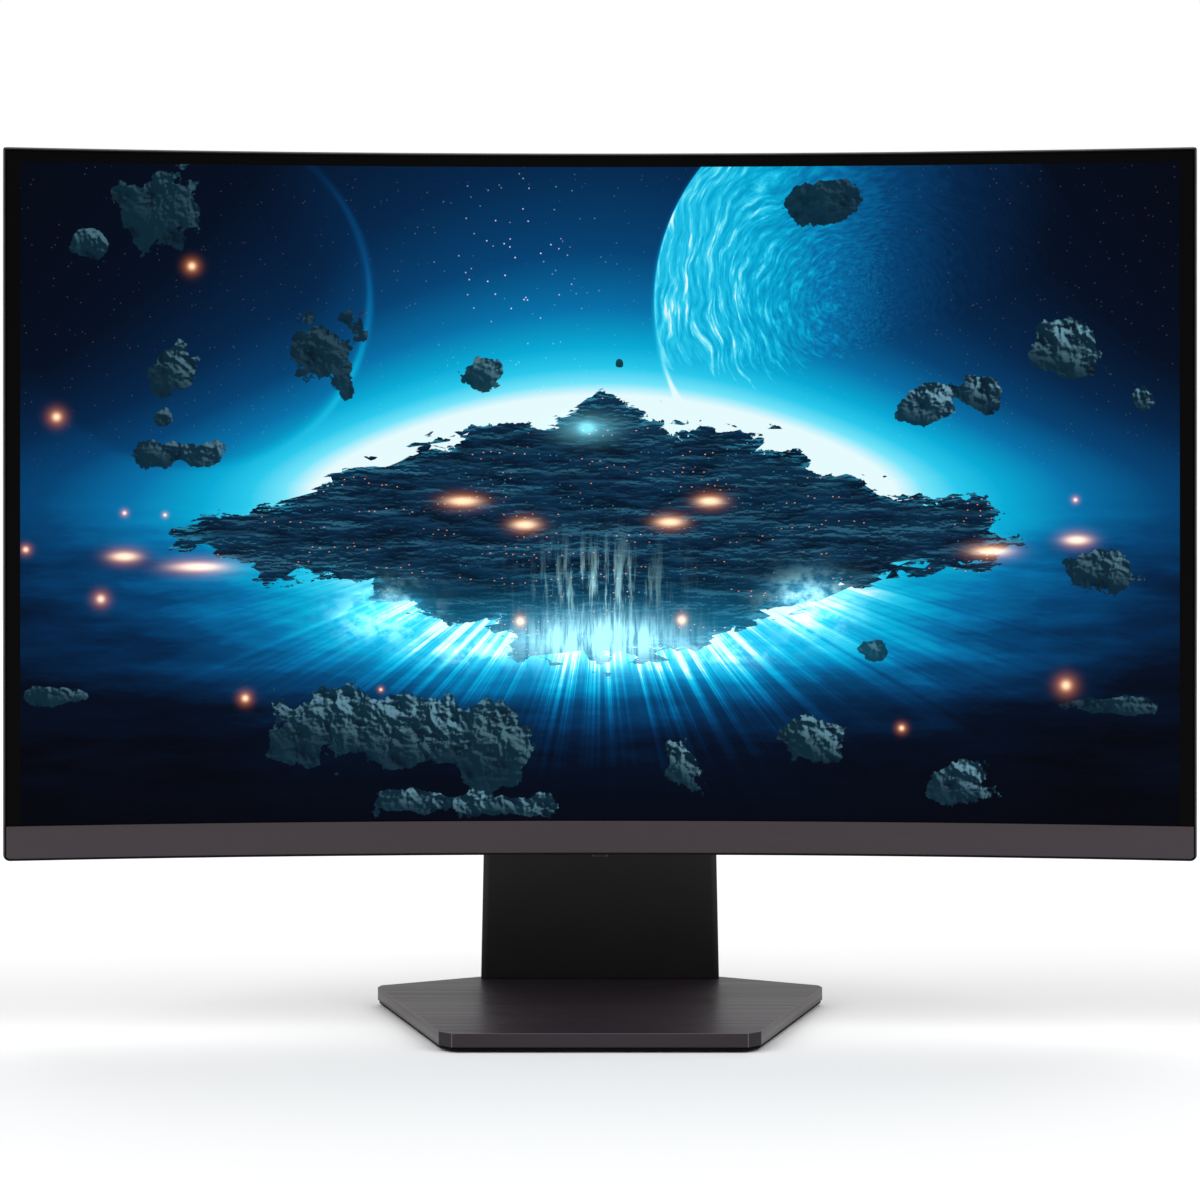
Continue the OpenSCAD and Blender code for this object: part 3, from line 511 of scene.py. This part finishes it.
def round_edges(node_object, radius, clamped):
    """Joins the mesh's split corners, rounds its sharp edges and evens out the shading."""
    weld = node_object.modifiers.new("join", "WELD")
    weld.merge_threshold = JOIN_DISTANCE
    bevel = node_object.modifiers.new("round", "BEVEL")
    bevel.width = radius * MM
    bevel.segments = 3
    bevel.limit_method = "ANGLE"
    bevel.angle_limit = SHARP_ANGLE
    bevel.use_clamp_overlap = clamped
    bevel.harden_normals = False
    even = node_object.modifiers.new("even", "WEIGHTED_NORMAL")
    even.keep_sharp = False
    even.weight = 80


for name, radius in EDGE_RADII.items():
    round_edges(frame["nodes"][name], radius, clamped=name not in UNCLAMPED)


# ---------------------------------------------------------------- the latch's spring
def spring_mesh(name, low, high):
    """A coil of round wire between two corners of a box, standing along Z."""
    turns, steps, sides = 5, 24, 8
    wire = 0.3 * MM
    coil = (high.x - low.x) / 2 - wire
    middle = (low + high) / 2
    rise = high.z - low.z - 2 * wire
    count = turns * steps + 1
    mesh = bpy.data.meshes.new(name)
    build = bmesh.new()
    rings = []
    for i in range(count):
        angle = 2 * math.pi * i / steps
        outward = Vector((math.cos(angle), math.sin(angle), 0.0))
        centre = Vector((middle.x, middle.y, low.z + wire + rise * i / (count - 1))) + outward * coil
        ring = []
        for k in range(sides):
            turn = 2 * math.pi * k / sides
            ring.append(build.verts.new(centre + (outward * math.cos(turn) + UP * math.sin(turn)) * wire))
        rings.append(ring)
    for lower, upper in zip(rings, rings[1:]):
        for k in range(sides):
            after = (k + 1) % sides
            build.faces.new((lower[k], upper[k], upper[after], lower[after])).smooth = True
    build.faces.new(rings[0])
    build.faces.new(list(reversed(rings[-1])))
    bmesh.ops.recalc_face_normals(build, faces=build.faces)
    build.to_mesh(mesh)
    build.free()
    return mesh


def add_spring():
    """The latch spring as a coil of wire, carried with the head."""
    low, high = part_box("latch_spring")
    release = next(joint for joint in record["behaviour"]["joints"] if joint["name"] == "release_slide")
    travel = release["range_m"][1] - release["range_m"][0]
    spring = bpy.data.objects.new("coil_spring", spring_mesh("coil_spring", low, high))
    bpy.context.scene.collection.objects.link(spring)
    spring.data.materials.append(materials["screw_bright"])
    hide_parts("latch_spring")
    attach(spring, "head")
    1.0 - travel / (high.z - low.z)
    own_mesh(spring)


add_spring()


# ---------------------------------------------------------------- the picture on the screen
# A made-up wallpaper. X runs from the picture's middle, Y up, both in picture heights.
SKY = [
    (0.0, (0.0003, 0.0006, 0.003)),
    (0.15, (0.0003, 0.004, 0.016)),
    (0.3, (0.0003, 0.018, 0.066)),
    (0.45, (0.0003, 0.054, 0.171)),
    (0.6, (0.0006, 0.162, 0.392)),
    (0.75, (0.001, 0.4, 0.67)),
    (0.85, (0.02, 0.58, 0.84)),
    (0.93, (0.17, 0.78, 0.96)),
    (1.0, (0.78, 0.96, 0.99)),
]
# Place and size of each small round orange light, and then of each long one
SPARKS = [
    (-0.62, 0.345, 0.010), (-0.82, 0.115, 0.011), (-0.755, -0.16, 0.010), (-0.865, -0.085, 0.007),
    (0.706, -0.291, 0.013), (0.46, -0.358, 0.007), (-0.54, -0.312, 0.009), (-0.335, -0.3, 0.004),
    (-0.72, -0.03, 0.005), (-0.66, -0.033, 0.004), (0.72, -0.01, 0.005), (0.885, -0.107, 0.005),
]
LAMPS = [
    (-0.61, -0.112, 0.052), (-0.72, -0.096, 0.028), (0.595, -0.088, 0.038), (0.722, -0.071, 0.026),
    (-0.21, -0.012, 0.034), (-0.115, -0.048, 0.026), (0.107, -0.044, 0.028), (0.168, -0.012, 0.026),
    (-0.122, -0.196, 0.01), (0.125, -0.194, 0.01),
]
# Middle, half width, half height and brightness of each drifting rock
ROCKS = [
    (-0.42, 0.2, 0.06, 0.066, 0.14), (-0.64, 0.062, 0.07, 0.028, 0.5),
    (-0.66, 0.115, 0.024, 0.02, 0.4), (-0.178, 0.182, 0.03, 0.026, 0.5),
    (0.345, 0.452, 0.05, 0.04, 0.12), (0.715, 0.212, 0.062, 0.042, 0.9),
    (0.505, 0.125, 0.042, 0.03, 1.0), (0.58, 0.152, 0.04, 0.032, 0.9),
    (-0.65, 0.19, 0.032, 0.046, 0.5), (-0.665, 0.43, 0.06, 0.062, 0.18),
    (0.765, -0.12, 0.062, 0.034, 0.5), (-0.375, -0.355, 0.17, 0.056, 0.8),
    (-0.17, -0.385, 0.08, 0.064, 0.5), (-0.25, -0.475, 0.07, 0.026, 0.8),
    (-0.13, -0.48, 0.05, 0.022, 0.7), (-0.81, -0.305, 0.055, 0.014, 0.4),
    (0.82, 0.14, 0.016, 0.02, 0.8), (-0.77, 0.375, 0.03, 0.022, 0.4),
    (0.03, 0.2, 0.01, 0.01, 0.1), (0.128, -0.412, 0.032, 0.042, 0.9),
    (0.317, -0.372, 0.042, 0.036, 0.8), (0.555, -0.441, 0.046, 0.042, 0.9),
    (0.78, -0.32, 0.06, 0.016, 0.3), (0.418, -0.24, 0.022, 0.018, 0.5),
]
# The floating island's lowest tip and its crest, and its half width at each part of the way up
ISLAND_LOW = -0.255
ISLAND_HIGH = 0.16
ISLAND = [
    (0.0, 0.0), (0.05, 0.1), (0.13, 0.2), (0.25, 0.34), (0.33, 0.45), (0.38, 0.6), (0.46, 0.66),
    (0.55, 0.62), (0.6, 0.5), (0.68, 0.42), (0.74, 0.33), (0.8, 0.29), (0.86, 0.24), (0.9, 0.09),
    (0.95, 0.04), (1.0, 0.0),
]


def gaussian(g, x, y, centre, spread):
    """A soft blob: 1 at its centre, falling off over spread."""
    dx = (x - centre[0]) / spread[0]
    dy = (y - centre[1]) / spread[1]
    return g.math("EXPONENT", (dx * dx + dy * dy) * -1.0)


def away_from(g, x, y, centre):
    """The distance from a centre."""
    dx = x - centre[0]
    dy = y - centre[1]
    return g.math("SQRT", dx * dx + dy * dy)


def flat(g, x, y, seed=0.0):
    """A point in the picture, for a pattern; each seed gives another stretch of the pattern."""
    return g.node("ShaderNodeCombineXYZ", inputs={0: x + seed * 7.3, 1: y + seed * 3.1})


def sky_light(g, x, y):
    """How bright the sky is: a wide glow low down, a band along the horizon and haze below it."""
    light = gaussian(g, x, y, (0.01, -0.01), (0.65, 0.235)) * 0.87
    light = light + gaussian(g, x, y, (0.0, -0.02), (2.3, 0.13)) * 0.28
    light = light + gaussian(g, x, y, (0.0, 0.24), (0.62, 0.465)) * 0.42
    light = light + gaussian(g, x, y, (0.0, -0.226), (0.79, 0.104)) * 0.36
    haze = g.noise(flat(g, x * 1.3 + y * 0.6, y * 7.0, 3.0), 2.6, detail=6.0, rough=0.62)
    low = g.remap(y, 0.02, -0.12) * g.remap(y, -0.52, -0.34)
    return light + (haze - 0.5) * low * 0.42


def rays(g, x, y):
    """Light fanning out downwards from behind the island."""
    angle = g.math("ARCTAN2", x, (y + 0.02) * -1.0)
    streaks = g.noise(flat(g, angle * 9.0, 0.3), 2.4, detail=4.0, rough=0.7)
    reach = gaussian(g, x, y, (0.03, -0.22), (0.42, 0.13))
    return g.remap(streaks, 0.4, 0.72) * reach * 0.42


def with_large_planet(g, x, y, light):
    """A planet right of the middle, lit on its left, with long thin clouds along its edge."""
    centre, radius = (0.412, 0.295), 0.329
    away = away_from(g, x, y, centre)
    inside = g.remap(away, radius + 0.0015, radius - 0.0015)
    angle = g.math("ARCTAN2", y - centre[1], (x - centre[0]) * -1.0)
    wind = g.noise(flat(g, x, y, 5.0), 4.0, detail=3.0)
    along = flat(g, away * 24.0 + wind * 3.0, angle * 0.9 + wind * 0.5, 7.0)
    clouds = g.noise(along, 3.2, detail=6.0, rough=0.62)
    fine = g.noise(flat(g, away * 55.0 + wind * 7.0, angle * 2.6, 3.0), 3.0, detail=3.0, rough=0.55)
    day = gaussian(g, x, y, (0.1, 0.3), (0.45, 3.0)) * 0.8
    day = day * g.remap(fine, 0.3, 0.7, 0.93, 1.07, smooth=False)
    high = g.remap(x, 0.52, 0.14) * g.remap(y, 0.0, 0.28)
    day = day + g.remap(clouds, 0.42, 0.74) * g.remap(fine, 0.25, 0.65, 0.6, 1.0) * high * 0.22
    limb = (away - radius) / 0.0035
    line = g.math("EXPONENT", limb * limb * -1.0) * g.remap(x, 0.3, 0.08)
    lit = g.math("MAXIMUM", day, light)
    return light + (lit - light) * inside + line * 0.1


def with_small_planet(g, x, y, light):
    """A darker disc upper left, with a thin lit edge on its right."""
    centre, radius = (-0.62, 0.3), 0.268
    away = away_from(g, x, y, centre)
    inside = g.remap(away, radius + 0.003, radius - 0.02)
    edge = (away - radius) / 0.006
    line = g.math("EXPONENT", edge * edge * -1.0) * g.remap(x, -0.56, -0.36) * g.remap(y, 0.05, 0.2)
    glow = g.remap(away, radius - 0.12, radius) * inside * g.remap(x, -0.56, -0.36)
    shade_inside = inside * g.remap(x, -0.33, -0.55, 0.2, 0.1)
    return light * (1.0 - shade_inside) + line * 0.13 + glow * 0.07


def with_stars(g, x, y, color):
    """A sparse cluster of small stars above the island, and a few elsewhere."""
    cell_scale = 70.0
    cells = g.voronoi(flat(g, x, y), cell_scale)
    tint = g.voronoi(flat(g, x, y), cell_scale, output="Color")
    field = gaussian(g, x, y, (-0.13, 0.36), (0.09, 0.12)) * 1.3 + 0.05
    chosen = g.remap(g.noise(flat(g, x, y, 9.0), 45.0, detail=1.0), 0.56, 0.66)
    amount = g.remap(cells, 0.11, 0.03) * field * chosen * g.remap(y, 0.0, 0.12)
    return g.mix(amount, color, g.mix(0.7, tint, (0.85, 0.8, 1.0)), blend="ADD")


def stone(g, x, y, scale, seed):
    """The height of broken stone: large facets with rough grain on them."""
    warp = g.noise(flat(g, x, y, seed), scale * 1.4, detail=2.0)
    at = flat(g, x + warp * 0.02, y - warp * 0.014, seed)
    facets = g.voronoi(at, scale, Detail=2.0, Roughness=0.5, Lacunarity=2.3)
    return facets * 0.6 + g.noise(at, scale * 2.2, detail=7.0, rough=0.66) * 0.55


def with_rocks(g, x, y, color):
    """Drifting rocks, lit from the upper right."""
    step, facet_scale, seed = 0.003, 21.0, 1.0
    height = stone(g, x, y, facet_scale, seed)
    beside = stone(g, x + step, y + step, facet_scale, seed)
    slope = g.remap(height - beside, -0.035, 0.13)
    bulk = g.noise(flat(g, x, y, 2.0), 9.0, detail=5.0, rough=0.6)
    covered, lit = 0.0, 0.0
    for rock_x, rock_y, half_width, half_height, brightness in ROCKS:
        dx = (x - rock_x) / half_width
        dy = (y - rock_y) / half_height
        edge = g.math("SQRT", dx * dx + dy * dy) + (bulk - 0.5) * 2.8
        body = g.remap(edge, 1.0, 0.95)
        glow = body * g.remap(dy + dx * 0.5, -0.8, 0.9, 0.04, 1.0) * brightness
        covered = g.math("MAXIMUM", covered, body)
        lit = g.math("MAXIMUM", lit, glow)
    tone = g.mix(g.remap(height, 0.3, 0.75), (0.001, 0.007, 0.015), (0.003, 0.02, 0.036))
    tone = g.mix(lit * slope, tone, (0.15, 0.33, 0.42))
    return g.mix(covered * 0.97, color, tone)


def strata(g, x, y):
    """The height of layered rock, drawn out sideways."""
    return g.noise(flat(g, x * 1.5, y * 6.0, 6.0), 8.0, detail=9.0, rough=0.62)


def island_outline(g, x, y):
    """How far inside the island a point is, with a broken, blocky edge."""
    blocks = g.voronoi(flat(g, x * 2.0, y * 6.0, 2.0), 9.0, output="Color", Detail=1.0)
    drift = g.noise(flat(g, x, y * 1.5, 4.0), 9.0, detail=6.0, rough=0.6)
    moved_y = y + (drift - 0.5) * 0.09 + (g.math("ADD", blocks, 0.0) - 0.5) * 0.03
    up_the_island = g.remap(moved_y, ISLAND_LOW, ISLAND_HIGH, smooth=False)
    half_width = g.ramp(up_the_island, [(at, (w, w, w)) for at, w in ISLAND])
    reach = g.math("ABSOLUTE", x + (drift - 0.5) * 0.14)
    return half_width - reach


def island_rock(g, x, y, inside):
    """Dark layered rock, with lit ledges and a brighter rim."""
    step = 0.0022
    height = strata(g, x, y)
    ledge = g.remap(height - strata(g, x, y + step), 0.0, 0.05)
    shelf = g.noise(flat(g, x * 0.8, y * 7.0, 3.0), 5.0, detail=4.0, rough=0.6)
    facing_up = g.remap(shelf, 0.46, 0.6)
    rim = g.remap(inside, 0.0, 0.07, 1.0, 0.0)
    tone = g.mix(g.remap(height, 0.35, 0.65), (0.0006, 0.007, 0.022), (0.0018, 0.022, 0.06))
    tone = g.mix(facing_up * 0.55, tone, (0.003, 0.034, 0.078))
    tone = g.mix(ledge * (facing_up * 0.5 + 0.15), tone, (0.03, 0.15, 0.24))
    return g.mix(rim * ledge * 0.7, tone, (0.02, 0.3, 0.47))


def with_island(g, x, y, color):
    """A wide floating island of layered rock, dark against the glow, with tiny lights on it."""
    inside = island_outline(g, x, y)
    tone = island_rock(g, x, y, inside)
    spot = g.remap(g.voronoi(flat(g, x, y * 1.8), 58.0, Randomness=0.7), 0.1, 0.04)
    warm = g.remap(g.noise(flat(g, x * 1.2, y * 8.0, 8.0), 6.0, detail=1.0), 0.6, 0.66)
    cool = g.remap(g.noise(flat(g, x * 1.2, y * 8.0, 1.0), 6.0, detail=1.0), 0.62, 0.68)
    tone = g.mix(spot * warm * 0.9, tone, (1.0, 0.34, 0.14), blend="ADD")
    tone = g.mix(spot * cool * 0.5, tone, (0.1, 0.5, 0.7), blend="ADD")
    return g.mix(g.remap(inside, 0.002, 0.007), color, tone)


def with_glare(g, x, y, color):
    """Bright cyan light pouring out below the island, smaller glows beside it and a beacon on its crest."""
    falls = g.noise(flat(g, x * 22.0, y * 2.4, 4.0), 3.0, detail=4.0, rough=0.7)
    mist = g.noise(flat(g, x * 1.6, y * 2.2, 8.0), 16.0, detail=4.0, rough=0.6)
    pour = gaussian(g, x, y, (0.0, -0.225), (0.1, 0.03)) * g.remap(falls, 0.3, 0.6, 0.3, 1.8)
    shafts = gaussian(g, x, y, (0.0, -0.16), (0.075, 0.06)) * g.remap(falls, 0.48, 0.7) * 0.7
    sides = gaussian(g, x, y, (-0.33, -0.185), (0.055, 0.032))
    sides = sides + gaussian(g, x, y, (0.32, -0.17), (0.05, 0.035))
    feet = gaussian(g, x, y, (-0.19, -0.24), (0.06, 0.018))
    feet = feet + gaussian(g, x, y, (0.19, -0.24), (0.06, 0.018))
    halo = gaussian(g, x, y, (0.0, -0.23), (0.3, 0.055)) * 0.5 + sides * 0.7
    color = g.mix(halo, color, (0.0, 0.42, 0.75), blend="ADD")
    core = pour + shafts + (sides + feet * 0.7) * g.remap(mist, 0.4, 0.66, 0.1, 1.2)
    color = g.mix(core, color, (0.5, 0.95, 1.0), blend="ADD")
    beacon = gaussian(g, x, y, (-0.02, 0.1), (0.012, 0.008))
    beacon = beacon + gaussian(g, x, y, (-0.02, 0.1), (0.04, 0.018)) * 0.4
    return g.mix(beacon, color, (0.25, 0.85, 1.0), blend="ADD")


def with_lights(g, x, y, color):
    """Small orange lights: a soft halo, a bright ring and a white-hot middle."""
    halo, core = 0.0, 0.0
    for at_x, at_y, size in SPARKS:
        halo = halo + gaussian(g, x, y, (at_x, at_y), (size * 1.1, size * 1.1))
        core = core + gaussian(g, x, y, (at_x, at_y), (size * 0.5, size * 0.5))
    for at_x, at_y, size in LAMPS:
        halo = halo + gaussian(g, x, y, (at_x, at_y), (size * 0.8, 0.011)) * 1.1
        core = core + gaussian(g, x, y, (at_x, at_y), (size * 0.6, 0.0055)) * 1.2
    color = g.mix(g.math("MINIMUM", halo, 1.0) * 0.75, color, (0.62, 0.17, 0.04), blend="ADD")
    return g.mix(g.math("MINIMUM", core, 1.0), color, (1.0, 0.8, 0.52), blend="ADD")


def picture_material():
    """The lit picture: sky, planets, stars, rocks, island and lights, from back to front."""
    g = Graph("picture", dimensions="2D")
    g.material.cycles.emission_sampling = "NONE"
    middle_z = (picture_top + picture_bottom) / 2
    height = picture_top - picture_bottom
    place_x, _, place_z = g.parts("Object")
    x = place_x / height
    y = (place_z - middle_z) / height

    light = sky_light(g, x, y) + rays(g, x, y)
    light = with_large_planet(g, x, y, light)
    light = with_small_planet(g, x, y, light)
    color = g.ramp(light, SKY)
    color = with_stars(g, x, y, color)
    color = with_rocks(g, x, y, color)
    color = with_island(g, x, y, color)
    color = with_glare(g, x, y, color)
    color = with_lights(g, x, y, color)
    return g.set(
        color=(0.0008, 0.0008, 0.001, 1.0),
        rough=0.35,
        specular=0.02,
        glow=color,
        glow_strength=1.0,
    )


def curved_point(x, z, depth):
    """A point at a depth behind the screen surface."""
    reach = SCREEN_RADIUS + depth
    return Vector((x, curve_centre_y + math.sqrt(reach * reach - x * x), z))


def curved_sheet(name, half, bottom, top, depth):
    """A fine grid bent round the screen's curve."""
    columns, rows = 96, 8
    mesh = bpy.data.meshes.new(name)
    build = bmesh.new()
    grid = []
    for row in range(rows + 1):
        z = bottom + (top - bottom) * row / rows
        spots = [half * (2 * column / columns - 1) for column in range(columns + 1)]
        grid.append([build.verts.new(curved_point(x, z, depth)) for x in spots])
    for low, high in zip(grid, grid[1:]):
        for c in range(columns):
            build.faces.new((low[c], low[c + 1], high[c + 1], high[c])).smooth = True
    build.to_mesh(mesh)
    build.free()
    piece = bpy.data.objects.new(name, mesh)
    bpy.context.scene.collection.objects.link(piece)
    return piece


picture = curved_sheet("picture", picture_half, picture_bottom, picture_top, -SHEET_LIFT)
picture.data.materials.append(picture_material())
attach(picture, "head")


# ---------------------------------------------------------------- studio
SUN_SPREAD = math.radians(50)


def floor_material():
    """Plain pale matt white."""
    g = Graph("floor")
    cloud = g.noise(g.place(), 1.3, detail=2.0)
    return g.set(color=g.mix(cloud, (0.9, 0.9, 0.9), (0.92, 0.92, 0.92)), rough=0.9, specular=0.05)


def add_floor():
    """A large square under the stand."""
    size = 6.0
    mesh = bpy.data.meshes.new("floor")
    corners = [(-size, -size, 0), (size, -size, 0), (size, size, 0), (-size, size, 0)]
    mesh.from_pydata(corners, [], [(0, 1, 2, 3)])
    floor = bpy.data.objects.new("floor", mesh)
    bpy.context.scene.collection.objects.link(floor)
    mesh.materials.append(floor_material())


def add_soft_sun(name, azimuth, elevation, strength):
    """A wide soft light from far away, so that the floor is lit evenly.

    Azimuth 0 is in front of the screen.
    """
    data = bpy.data.lights.new(name, "SUN")
    data.energy = strength
    data.angle = SUN_SPREAD
    lamp = bpy.data.objects.new(name, data)
    lamp.rotation_euler = (math.radians(90 - elevation), 0.0, math.radians(azimuth))
    bpy.context.scene.collection.objects.link(lamp)


def add_world(seen, cast):
    """A plain white backdrop that casts softer light than it shows."""
    world = bpy.data.worlds.new("studio")
    world.use_nodes = True
    tree = world.node_tree
    background = tree.nodes["Background"]
    background.inputs["Color"].default_value = (1.0, 1.0, 1.0, 1.0)
    path = tree.nodes.new("ShaderNodeLightPath")
    strength = tree.nodes.new("ShaderNodeMapRange")
    strength.inputs["To Min"].default_value = cast
    strength.inputs["To Max"].default_value = seen
    tree.links.new(path.outputs["Is Camera Ray"], strength.inputs["Value"])
    tree.links.new(strength.outputs["Result"], background.inputs["Strength"])
    bpy.context.scene.world = world


def add_camera():
    """Level and square on to the screen, with the frame shifted down to take in the base."""
    distance_to_screen = 1.7
    focal_length = 98.1
    eye_height = 0.27235
    horizon_rise = 95 / 1200
    data = bpy.data.cameras.new("camera")
    data.lens = focal_length
    data.sensor_width = 36.0
    data.shift_y = -horizon_rise
    camera = bpy.data.objects.new("camera", data)
    camera.location = (0.0, screen_middle_y - distance_to_screen, eye_height)
    camera.rotation_euler = (math.radians(90), 0.0, 0.0)
    bpy.context.scene.collection.objects.link(camera)
    bpy.context.scene.camera = camera


add_floor()
add_world(seen=1.0, cast=0.5)
add_soft_sun("key", -60, 40, 1.4)
add_soft_sun("fill", 62, 40, 1.1)
add_soft_sun("back", 170, 55, 0.85)
add_camera()
bpy.context.scene.view_settings.view_transform = "Standard"
